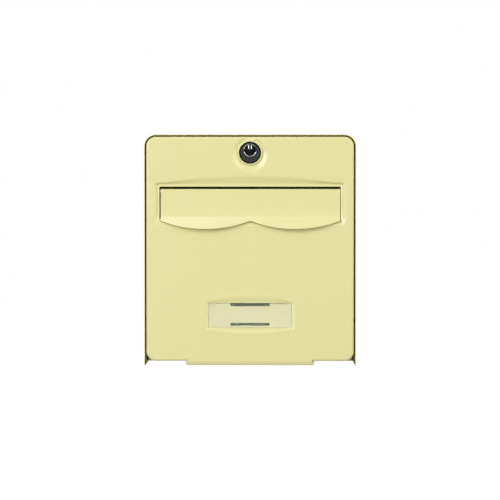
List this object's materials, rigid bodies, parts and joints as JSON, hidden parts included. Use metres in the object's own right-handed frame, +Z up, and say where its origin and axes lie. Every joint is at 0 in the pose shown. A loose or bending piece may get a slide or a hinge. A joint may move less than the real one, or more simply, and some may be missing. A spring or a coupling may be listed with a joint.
{
  "type": "wall mounted mailbox",
  "caption": "Steel letterbox for a wall: a rounded folded casing, a drop-down pressed door with a two-lobed letter flap, a name plate pocket and a cam lock.",
  "frame": {"origin": "centre of the four wall holes, on the outer face of the back panel", "axes": "+Y out of the back, towards the wall that the box hangs on; -Y towards the front; +X to the right seen from the front; +Z up"},
  "size_m": [0.285, 0.3721, 0.311],
  "materials": {
    "cream_paint": "smooth semi-gloss powder coat in pale cream yellow on steel sheet",
    "black_rubber": "moulded black rubber",
    "zinc_plate": "bright zinc plated steel",
    "black_lacquer": "glossy black lacquer on a die-cast lock",
    "clear_plastic": "clear polished plastic sheet",
    "lock_metal": "dark nickel plated lock core"
  },
  "bodies": {
    "casing": {"casing_wrap": "cream_paint", "floor_pan": "cream_paint", "back_panel": "cream_paint", "rebate_frame": "cream_paint", "door_buffers": "black_rubber", "hinge_bracket": "cream_paint", "hinge_pin": "zinc_plate", "hinge_pin_caps": "zinc_plate"},
    "door": {"door_panel": "cream_paint", "flap_rod": "zinc_plate", "flap_buffers": "black_rubber", "lock_collar": "cream_paint", "lock_housing": "black_lacquer", "lock_clip": "zinc_plate", "name_plate_cover": "clear_plastic"},
    "flap": {"letter_flap": "cream_paint"},
    "lock": {"lock_core": "lock_metal", "lock_cam": "zinc_plate", "cam_washer": "zinc_plate", "cam_screw": "zinc_plate"}
  },
  "joints": [
    {"name": "door_hinge", "type": "hinge", "parent": "casing", "child": "door", "pos_m": [0, -0.35895, -0.15215], "axis": [1, 0, 0], "range_deg": [0, 115]},
    {"name": "flap_hinge", "type": "hinge", "parent": "door", "child": "flap", "pos_m": [0, -0.35595, 0.07985], "axis": [-1, 0, 0], "range_deg": [0, 100]},
    {"name": "lock_turn", "type": "hinge", "parent": "door", "child": "lock", "pos_m": [0, -0.35, 0.1344], "axis": [0, 1, 0], "range_deg": [0, 90]}
  ]
}
